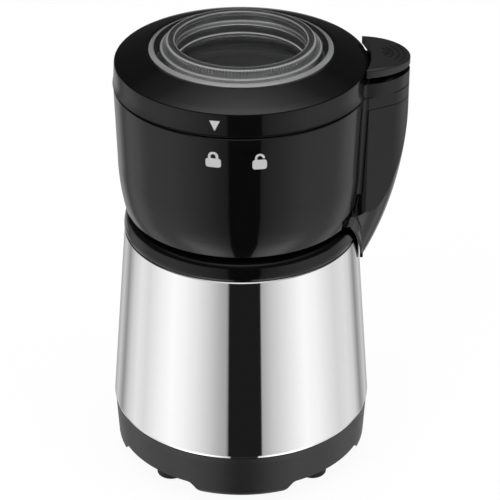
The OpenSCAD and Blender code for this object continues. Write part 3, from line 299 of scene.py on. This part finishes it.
# ---- Steel shell ---------------------------------------------------------------------------
# Polished stainless sheet, rolled to a cone and welded at the back, with the faint
# horizontal lines that the polishing belt leaves.
STEEL = (0.90, 0.90, 0.905)


def polished_sheet():
    """Mirror metal; belt lines are noise drawn out round the cone and very thin in Z."""
    mat = finish("polished_sheet", STEEL, 0.05, metal=1.0)
    belt = noise(mat, 1.0, 4, stretch=(8, 8, 2600))
    gloss_range(mat, belt, 0.02, 0.06)
    tint(mat, belt, (0.87, 0.87, 0.875), STEEL)
    return relief(mat, belt, 0.0000006)


coat(polished_sheet(), "steel_shell")

# ---- Collar, cup housing and column cover --------------------------------------------------
# Glossy black ABS from polished moulds. The collar closes the steel shell, the housing
# holds the bowl, and the column cover is a separate shell screwed on from inside.
HEIGHT, RADIUS = 0, 1


def height_and_radius(tree):
    """The height and the distance from the drive axis, as sockets in this order."""
    place = tree.nodes.new("ShaderNodeSeparateXYZ")
    tree.links.new(tree.nodes.new("ShaderNodeTexCoord").outputs["Object"], place.inputs[0])
    x, y, z = place.outputs
    flat = maths(tree, "ADD", maths(tree, "POWER", x, 2.0), maths(tree, "POWER", y, 2.0))
    return z, maths(tree, "SQRT", flat)


def polished_plastic(name, along=HEIGHT, start=0.0, stop=0.0, middle=0.0, gain=0.0):
    """Deep black under a clear gloss. Its relief is the slow ripple of a moulded wall
    less gain times the square of the distance from middle, along HEIGHT or RADIUS, from
    start to stop: a wall's slight swell."""
    mat = finish(name, (0.005, 0.005, 0.006), 0.07, Specular_IOR_Level=0.28)
    tint(mat, noise(mat, 30), (0.0035, 0.0035, 0.004), (0.0055, 0.0055, 0.006))
    gloss_range(mat, noise(mat, 120, 4), 0.04, 0.10)
    tree = mat.node_tree
    held = maths(tree, "MINIMUM", height_and_radius(tree)[along], stop)
    away = maths(tree, "SUBTRACT", maths(tree, "MAXIMUM", held, start), middle)
    square = maths(tree, "POWER", maths(tree, "ABSOLUTE", away), 2.0)
    ripple = maths(tree, "MULTIPLY", noise(mat, 55, 2), 0.000012)
    surface = maths(tree, "ADD", maths(tree, "MULTIPLY", square, -gain), ripple)
    return relief(mat, surface, 1.0, 0.0003)


coat(polished_plastic("polished_black_abs", HEIGHT, start=0.1245, stop=0.1325,
                      middle=0.1325, gain=11.0), "collar", "cup_housing")
coat(polished_plastic("polished_black_cover"), "fin_cover")

# ---- Lid ring ------------------------------------------------------------------------------
# The same glossy black ABS, locked into the housing with four lugs. Its top is one clean
# slope from the crease to the window, and the wall that holds the seal ends under it.

# The radius and height of the slope's two edges, and which vertices belong to its upper
# edge and to what stands over its foot.
SLOPE_FOOT, SLOPE_HEAD, SLOPE_LIFT = (0.05447, 0.19525), (0.0412, 0.2004), 0.0011
EDGE_RADIUS, EDGE_FROM_Z = 0.0413, 0.199
SLOPE_RADII, SLOPE_FROM_Z = (0.0414, 0.0544), 0.1954
MERGE_DISTANCE = 0.000004


def new_piece(name, mesh, material, body):
    """An object of a mesh, with its material and body."""
    mesh.materials.clear()
    mesh.materials.append(material)
    piece = bpy.data.objects.new(name, mesh)
    bpy.context.scene.collection.objects.link(piece)
    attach(piece, body)
    return piece


def merged(mesh):
    """Joins the doubled corners of a mesh and drops its faces without area."""
    shape = bmesh.new()
    shape.from_mesh(mesh)
    bmesh.ops.remove_doubles(shape, verts=shape.verts, dist=MERGE_DISTANCE)
    bmesh.ops.dissolve_degenerate(shape, edges=shape.edges, dist=MERGE_DISTANCE)
    shape.to_mesh(mesh)
    shape.free()
    return mesh


def clean_lid():
    """The lid ring's surface with the slope's upper edge lifted by SLOPE_LIFT and each
    point between its two edges laid onto the straight line from foot to head."""
    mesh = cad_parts["lid_ring"].data.copy()
    if "custom_normal" in mesh.attributes:
        mesh.attributes.remove(mesh.attributes["custom_normal"])
    place = np.empty(len(mesh.vertices) * 3)
    mesh.vertices.foreach_get("co", place)
    place = place.reshape(-1, 3)
    radius, height = np.hypot(place[:, 0], place[:, 1]), place[:, 2]
    (foot_r, foot_z), (head_r, head_z) = SLOPE_FOOT, SLOPE_HEAD
    slope = foot_z + (head_z - foot_z) * (foot_r - radius) / (foot_r - head_r)
    edge = (radius < EDGE_RADIUS) & (height > EDGE_FROM_Z)
    over = (radius > SLOPE_RADII[0]) & (radius < SLOPE_RADII[1]) & (height > SLOPE_FROM_Z)
    place[edge, 2] += SLOPE_LIFT
    place[over, 2] = slope[over]
    mesh.vertices.foreach_set("co", place.ravel())
    merged(mesh)
    mesh.polygons.foreach_set("use_smooth", np.full(len(mesh.polygons), True))
    mesh.set_sharp_from_angle(angle=radians(25))
    return mesh


LID_BLACK = polished_plastic("polished_black_lid", RADIUS, start=0.0405, stop=0.0540,
                             middle=0.0540, gain=3.6)
lid = new_piece("lid_shell", clean_lid(), LID_BLACK, "lid")
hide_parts("lid_ring")

# ---- Lock marks ----------------------------------------------------------------------------
# Light grey pad print on the gloss: a pointer on the lid's rim, and a closed and an open
# padlock on the cup where the pointer stands when the lid is locked and when it comes off.
PRINT_LIFT, PRINT_DEPTH = 0.00005, 0.00008
POINTER, LOCKED, OPEN_BODY, OPEN_SHACKLE = (radians(a) for a in (-11.9, -12.6, 7.6, 7.7))

# The cones that they lie on, as (height, radius) at the foot and at the top.
RIM = ((0.1856, 0.0555), (0.1945, 0.0550))
CUP_WALL = ((0.1499, 0.0545), (0.1836, 0.0555))


def mesh_piece(name, corners, faces, material, body, smooth=True):
    """A new object from arrays of corners and faces, riding on a body."""
    mesh = bpy.data.meshes.new(name)
    mesh.from_pydata(corners.reshape(-1, 3).tolist(), [], faces.tolist())
    mesh.polygons.foreach_set("use_smooth", np.full(len(mesh.polygons), smooth))
    return new_piece(name, mesh, material, body)


def quads(rows, columns, wrap=False):
    """Corner numbers of the quads of a grid, row by row; wrap closes each row round."""
    here = np.arange(rows - 1)[:, None] * columns
    below = here + columns
    left = np.arange(columns if wrap else columns - 1)[None, :]
    right = (left + 1) % columns
    return np.stack([here + left, here + right, below + right, below + left],
                    axis=-1).reshape(-1, 4)


def print_pad(name, across, up, azimuth, wall, body):
    """A thin closed pad on a cone. across and up are grids in metres; across bends round
    the drive axis at azimuth, and up is the height. The front layer stands PRINT_LIFT
    proud, the back layer PRINT_DEPTH behind it, and a rim joins their borders."""
    (z0, r0), (z1, r1) = wall
    radius = r0 + (r1 - r0) * (up - z0) / (z1 - z0)
    angle = azimuth + across / radius
    layers = [np.stack([(radius + lift) * np.sin(angle), -(radius + lift) * np.cos(angle),
                        up], axis=-1) for lift in (PRINT_LIFT, PRINT_LIFT - PRINT_DEPTH)]
    rows, columns = across.shape
    face = quads(rows, columns)
    grid = np.arange(rows * columns).reshape(rows, columns)
    border = np.concatenate([grid[0], grid[1:, -1], grid[-1, -2::-1], grid[-2:0:-1, 0]])
    after = np.roll(border, -1)
    rim = np.stack([after, border, border + grid.size, after + grid.size], axis=-1)
    faces = np.concatenate([face, face[:, ::-1] + grid.size, rim])
    mesh_piece(name, np.stack(layers), faces, PRINT, body, smooth=False)


def rounded_box(width, low, high, corner):
    """Grid of a rectangle whose rows shorten round the corners."""
    rise = corner * (1 - np.cos(np.linspace(0, pi / 2, 7)))
    up = np.concatenate([low + rise, high - rise[::-1]])
    over = np.maximum(0, np.maximum(low + corner - up, up - high + corner))
    half = width / 2 - corner + np.sqrt(np.maximum(corner ** 2 - over ** 2, 0))
    side = np.linspace(-1, 1, 9)
    return side[None, :] * half[:, None], np.repeat(up[:, None], len(side), axis=1)


def shackle(width, bar, foot_left, foot_right, top):
    """Grid of a bar bent over a half circle, with a leg down to a height on each side."""
    reach = width / 2 - bar / 2
    turn = np.linspace(pi, 0, 17)
    middle = np.concatenate([[[-reach, foot_left]],
                             np.stack([reach * np.cos(turn),
                                       top - width / 2 + reach * np.sin(turn)], axis=1),
                             [[reach, foot_right]]])
    outward = np.concatenate([[[-1, 0]], np.stack([np.cos(turn), np.sin(turn)], axis=1),
                              [[1, 0]]])
    step = np.linspace(bar / 2, -bar / 2, 4)
    place = middle[None, :, :] + step[:, None, None] * outward[None, :, :]
    return place[::-1, :, 0], place[::-1, :, 1]


def arrow(half_width, tip_z, length, blunt=0.00003):
    """Grid of a triangle that points down and widens upwards from its blunt tip."""
    grow = np.linspace(0, 1, 6)[:, None]
    side = np.linspace(-1, 1, 5)[None, :]
    up = np.repeat(tip_z + length * grow, side.size, axis=1)
    return side * (blunt + half_width * grow), up


PRINT = finish("pale_print", (0.83, 0.83, 0.83), 0.5)
tint(PRINT, noise(PRINT, 900, 4), (0.80, 0.80, 0.80), (0.86, 0.86, 0.86))
relief(PRINT, noise(PRINT, 4000, 2), 0.000004)
print_pad("pointer_mark", *arrow(0.0022, 0.1875, 0.0045), POINTER, RIM, "lid")
for name, grid, azimuth in (
        ("closed_lock_body", rounded_box(0.0066, 0.1704, 0.1746, 0.0012), LOCKED),
        ("closed_lock_shackle", shackle(0.0044, 0.0011, 0.1746, 0.1746, 0.1777), LOCKED),
        ("open_lock_body", rounded_box(0.0061, 0.1698, 0.1743, 0.0012), OPEN_BODY),
        ("open_lock_shackle", shackle(0.0042, 0.0010, 0.1743, 0.1749, 0.1771),
         OPEN_SHACKLE)):
    print_pad(name, *grid, azimuth, CUP_WALL, "cup")

# ---- Window --------------------------------------------------------------------------------
# One piece of clear moulded plastic, its grey tint partly smoke and partly painted shade
# for the dark inside: a flange with a bevelled edge, a raised ring with fine flutes, and a
# deep recess that looks down on the blade. Its polished, rounded edges and flute crests
# carry painted highlights: pale, less clear lines.
TURNS, FLUTES = 864, 144
ROUND = np.linspace(0, 2 * pi, TURNS, endpoint=False)
# SMOKE_AND_SHADE is the plastic's own smoky tint, deepened as painted shade to darken the view
# inside.
SMOKE_AND_SHADE, HIGHLIGHT_GREY = (0.44, 0.445, 0.45), (0.86, 0.86, 0.87)
# How much painted highlight each flute's crest gets.
FLUTE_HIGHLIGHT = 0.25


def bend(centre, radius, first, last, steps=5):
    """Points on an arc in the (radius, height) plane, in millimetres and degrees."""
    angle = np.radians(np.linspace(first, last, steps))
    return np.stack([centre[0] + radius * np.cos(angle),
                     centre[1] + radius * np.sin(angle)], axis=1)


def revolved(profile, flute):
    """A profile of (radius, height) turned round the drive axis. Each point's radius
    swings by its flute depth, FLUTES times a turn."""
    radius = profile[:, :1] + flute[:, None] * np.cos(FLUTES * ROUND)[None, :]
    return np.stack([radius * np.cos(ROUND), radius * np.sin(ROUND),
                     np.repeat(profile[:, 1:], TURNS, axis=1)], axis=-1) / 1000


def window_profile():
    """Half section from the underside's centre round the flange to the floor's centre,
    with the flute depth of each point in millimetres and how much painted highlight it
    carries."""
    low, deck, floor_z = 191.8, 201.0, 194.3
    parts = [([[0.02, low], [15, low], [29.0, low]], 0, 0),
             (bend((29.9, low + 1), 1, -80, 0), 0, 0),
             ([[30.9, 195.0], [30.9, 197.0], [31.4, 197.4], [39.6, 197.4]], 0, 0),
             ([[39.9, 197.7], [39.95, 200.2]], 0, 0),
             ([[39.95, 200.3], [39.8, 200.45]], 0, 0.55),
             ([[38.0, deck + 0.1], [37.8, deck + 0.15]], 0, 0.45),
             ([[37.6, deck + 0.1], [35.2, deck]], 0, 0),
             (bend((34.6, deck + 0.5), 0.5, -80, -160, 4), 0, 0.6),
             ([[33.9, deck + 0.6]], 0.12, 0.1),
             ([[33.0, 202.6], [32.3, 203.7]], 0.12, 0.05),
             (bend((31.7, 203.9), 0.5, 10, 80, 4), 0.05, 0.55),
             ([[31.2, 204.4], [29.3, 204.4]], 0, 0.1),
             (bend((29.0, 204.1), 0.4, 90, 170, 4), 0, 0.55),
             ([[28.5, 203.6], [28.4, 203.1]], 0.08, 0.05),
             ([[28.4, 202.9], [28.4, 202.7]], 0.05, 0.4),
             ([[28.4, 202.5], [28.3, 200.0]], 0.05, 0.12),
             ([[28.3, 199.6], [28.2, floor_z + 0.7]], 0, 0.2),
             (bend((27.9, floor_z + 0.3), 0.3, 0, -90), 0, 0.9),
             ([[27.6, floor_z], [15, floor_z - 0.02], [0.02, floor_z - 0.02]], 0, 0.03)]
    points = np.concatenate([np.array(p, dtype=float) for p, _, _ in parts])
    flute, painted_highlight = (np.concatenate([np.full(len(part[0]), float(part[k])) for part in parts])
                      for k in (1, 2))
    return points, flute, painted_highlight


def clear_plastic():
    """Smoky clear plastic, its grey partly painted shade, with faint flow lines; where a
    painted highlight lies, paler and less clear.
    """
    mat = finish("clear_plastic", SMOKE_AND_SHADE, 0.03, IOR=1.49)
    tree = mat.node_tree
    # Painted highlight: the pale grey and the loss of clearness follow this attribute.
    edge = tree.nodes.new("ShaderNodeAttribute")
    edge.attribute_name = "painted_highlight"
    tint(mat, edge.outputs["Fac"], SMOKE_AND_SHADE, HIGHLIGHT_GREY)
    clear = tree.nodes.new("ShaderNodeMapRange")
    clear.inputs["To Min"].default_value = 1.0
    clear.inputs["To Max"].default_value = 0.2
    tree.links.new(edge.outputs["Fac"], clear.inputs["Value"])
    tree.links.new(clear.outputs[0],
                   tree.nodes["Principled BSDF"].inputs["Transmission Weight"])
    gloss_range(mat, noise(mat, 90, 4), 0.015, 0.07)
    return relief(mat, noise(mat, 70, 2, distortion=1.5), 0.00002)


section, flute_depth, painted_highlight = window_profile()
window = mesh_piece("window", revolved(section, flute_depth),
                    quads(len(section), TURNS, wrap=True), clear_plastic(),
                    "lid")
# Painted highlight on the flute crests, palest at each crest.
crest = 0.5 + 0.5 * np.cos(FLUTES * ROUND)
painted_highlight = painted_highlight[:, None] + FLUTE_HIGHLIGHT * (flute_depth > 0)[:, None] * crest[None, :]
window.data.attributes.new("painted_highlight", "FLOAT", "POINT").data.foreach_set(
    "value", painted_highlight.ravel())
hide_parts("lid_window")

# ---- Thumb button --------------------------------------------------------------------------
# Satin black ABS with a soft touch grain; a pointing finger and three raised arcs show
# where to press. The top is level up to the stem and falls on an arc to the nose.
SOFT_TOUCH = moulded("soft_touch_abs", (0.014, 0.014, 0.015), (0.019, 0.019, 0.020), 0.42,
                     0.000015, 0.0006)
PRESS_MARK = moulded("press_mark_abs", (0.002, 0.002, 0.002), (0.003, 0.003, 0.003), 0.6,
                     0.000015, 0.0006)
coat(SOFT_TOUCH, "button")
BUTTON_TOP, CROWN_START, CROWN_RADIUS = 0.1976, 0.058, 0.0883
BEAD_SIDES, BEAD_RISE, BEAD_BLUNTNESS = 10, 0.4, 2.5


def bead(name, path, thick):
    """A raised bead on the button's top: a flat oval of the given thickness carried along
    a path of (x, y) in metres, with its middle on the crown and tapering at both ends."""
    along = np.gradient(path, axis=0)
    along /= np.linalg.norm(along, axis=1, keepdims=True)
    side = np.stack([-along[:, 1], along[:, 0]], axis=1)
    taper = np.sin(np.linspace(0.03, pi - 0.03, len(path))) * BEAD_BLUNTNESS
    taper = np.sqrt(np.clip(taper, 0, 1))
    turn = np.linspace(0, 2 * pi, BEAD_SIDES, endpoint=False)
    out = (np.cos(turn)[None, :] * thick * taper[:, None] / 2)[:, :, None] * side[:, None, :]
    ground = BUTTON_TOP - CROWN_RADIUS + np.sqrt(
        CROWN_RADIUS ** 2 - np.maximum(path[:, 0] - CROWN_START, 0) ** 2)
    up = ground[:, None] + np.sin(turn)[None, :] * thick * taper[:, None] * BEAD_RISE
    corners = np.concatenate([path[:, None, :] + out, up[:, :, None]], axis=-1)
    faces = quads(len(path), BEAD_SIDES, wrap=True)
    mesh_piece(name, corners, faces, PRESS_MARK, "thumb_button")


# Each arc's centre X, radius and half angle in degrees, and each finger's two ends.
ARCS = ((0.0600, 0.0056, 62), (0.0594, 0.0088, 54), (0.0588, 0.0119, 46))
FINGERS = np.array([((0.0612, 0.0048), (0.0640, 0.0022)),
                    ((0.0612, 0.0010), (0.0645, 0.0010)),
                    ((0.0610, -0.0022), (0.0641, -0.0002))])
ARC_Y, ARC_THICK, FINGER_THICK = 0.0005, 0.0010, 0.0011

for number, (centre, radius, half_turn) in enumerate(ARCS, 1):
    swing = np.radians(np.linspace(-half_turn, half_turn, 48))
    arc = np.stack([centre + radius * np.cos(swing), ARC_Y + radius * np.sin(swing)], axis=1)
    bead(f"press_arc_{number}", arc, ARC_THICK)
for number, (start, end) in enumerate(FINGERS, 1):
    line = start + np.linspace(0, 1, 16)[:, None] * (end - start)
    bead(f"finger_mark_{number}", line, FINGER_THICK)

# ---- Bowl, blade and bare steel inside -----------------------------------------------------
# Deep-drawn stainless bowl and ground blade, turned shafts, nuts and washers, and zinc
# plated screws.


def turned_metal(name, colour, rough, lines):
    """Bare metal with fine lines round the drive axis: noise along radius plus height."""
    mat = finish(name, colour, rough, metal=1.0)
    tree = mat.node_tree
    height, radius = height_and_radius(tree)
    along = maths(tree, "ADD", radius, height)
    cloud = tree.nodes.new("ShaderNodeTexNoise")
    cloud.noise_dimensions = "1D"
    cloud.inputs["Scale"].default_value = lines
    cloud.inputs["Detail"].default_value = 4
    tree.links.new(along, cloud.inputs["W"])
    gloss_range(mat, cloud.outputs["Fac"], rough - 0.08, rough + 0.12)
    tint(mat, cloud.outputs["Fac"], tuple(0.86 * c for c in colour), colour)
    return relief(mat, cloud.outputs["Fac"], 0.000003, 0.0002)


coat(turned_metal("brushed_bowl_steel", (0.62, 0.62, 0.63), 0.3, 1500), "grinding_bowl")
coat(turned_metal("ground_blade_steel", (0.66, 0.66, 0.67), 0.25, 2500), "blade")
coat(turned_metal("turned_shaft_steel", (0.58, 0.58, 0.59), 0.28, 3000),
     "blade_shaft", "blade_washer", "cap_nut", "bowl_nut", "motor_shaft")


def plated(name, dark, light, rough, scale):
    """Plated or cast metal with a cloudy crystal pattern."""
    mat = finish(name, light, rough, metal=1.0)
    cloud = noise(mat, scale, 6)
    tint(mat, cloud, dark, light)
    gloss_range(mat, cloud, rough - 0.08, rough + 0.1)
    return relief(mat, noise(mat, scale * 4, 3), 0.00001, 0.0002)


coat(plated("zinc_plate", (0.42, 0.43, 0.46), (0.58, 0.58, 0.6), 0.35, 400),
     "bottom_screws", "motor_bolts", "bracket_screws", "cup_screws", "fin_screws")

# ---- Springs -------------------------------------------------------------------------------
# Drawn wire, one round the button's stem and one under the push rod. Each stands on its
# seat in the lid or the cup, and the button's travel squeezes it onto that seat.
SPRING_WIRE = turned_metal("spring_wire", (0.55, 0.55, 0.57), 0.3, 4000)


def pressed_spring(name, node, body):
    """A merged copy of a CAD spring riding on a body, in place of the CAD node, which is
    hidden.
    """
    mesh = merged(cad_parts[node].data.copy())
    spring = new_piece(name, mesh, SPRING_WIRE, body)
    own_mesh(spring)
    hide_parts(node)


pressed_spring("stem_spring", "button_spring", "lid")
pressed_spring("rod_return_spring", "rod_spring", "cup")

# ---- Motor ---------------------------------------------------------------------------------
# Stacked sheet cores, enamelled copper windings, die-cast brackets, sintered bushes, a
# copper commutator with carbon brushes in brass boxes, and a moulded fan.

# What a wave texture of scale 1 repeats at, in metres.
WAVE_PITCH = 0.314


def layered(name, dark, light, rough, pitch, axis="Z"):
    """Fine parallel layers, one every pitch metres: sheets in a core or wires in a coil."""
    mat = finish(name, light, rough, metal=1.0)
    tree = mat.node_tree
    wave = tree.nodes.new("ShaderNodeTexWave")
    wave.bands_direction = axis
    wave.inputs["Scale"].default_value = WAVE_PITCH / pitch
    wave.inputs["Distortion"].default_value = 0.4
    tree.links.new(tree.nodes.new("ShaderNodeTexCoord").outputs["Object"], wave.inputs[0])
    tint(mat, wave.outputs["Fac"], dark, light)
    return relief(mat, wave.outputs["Fac"], pitch * 0.3)


coat(layered("core_sheets", (0.09, 0.09, 0.10), (0.23, 0.23, 0.24), 0.5, 0.0005),
     "stator_core", "rotor_core")
coat(layered("enamelled_copper", (0.30, 0.10, 0.04), (0.66, 0.28, 0.12), 0.32, 0.0005,
             axis="DIAGONAL"), "field_coils", "rotor_windings")
coat(plated("die_cast_aluminium", (0.52, 0.53, 0.54), (0.66, 0.67, 0.68), 0.45, 500),
     "upper_bracket", "lower_bracket")
coat(plated("sintered_bronze", (0.36, 0.25, 0.11), (0.52, 0.39, 0.19), 0.5, 1500),
     "motor_bearings", "shaft_bush")
coat(turned_metal("commutator_copper", (0.72, 0.42, 0.24), 0.3, 3500), "commutator")
coat(plated("brass_sheet", (0.62, 0.48, 0.2), (0.74, 0.6, 0.28), 0.3, 300), "brush_holders")
coat(moulded("pressed_carbon", (0.012, 0.012, 0.012), (0.03, 0.03, 0.03), 0.5, 0.00004),
     "carbon_brushes")
coat(moulded("fan_plastic", (0.10, 0.11, 0.13), (0.14, 0.15, 0.17), 0.45), "cooling_fan")

# ---- Coupling, push rod, slider and switch -------------------------------------------------
# Natural nylon for what slides and drives, because it runs dry: the coupling's halves on
# their shafts, the rod in the column and the slider in the deck, over a red switch body.
coat(moulded("natural_nylon", (0.70, 0.69, 0.64), (0.78, 0.77, 0.73), 0.42,
             Subsurface_Weight=0.15, Subsurface_Scale=0.002),
     "drive_coupler", "driven_coupler", "push_rod", "switch_slider")
coat(moulded("switch_plastic", (0.32, 0.03, 0.02), (0.42, 0.05, 0.04), 0.4), "micro_switch")

# ---- Seals ---------------------------------------------------------------------------------
# Moulded silicone, held without glue: red round the motor's shaft and clamped under the
# bowl, and grey in the lid, where it lies on the bowl's rim.
coat(moulded("red_silicone", (0.20, 0.03, 0.02), (0.28, 0.05, 0.035), 0.55, 0.00001),
     "shaft_seal", "bowl_gasket")
coat(moulded("grey_silicone", (0.14, 0.14, 0.15), (0.19, 0.19, 0.2), 0.55, 0.00001),
     "lid_seal")
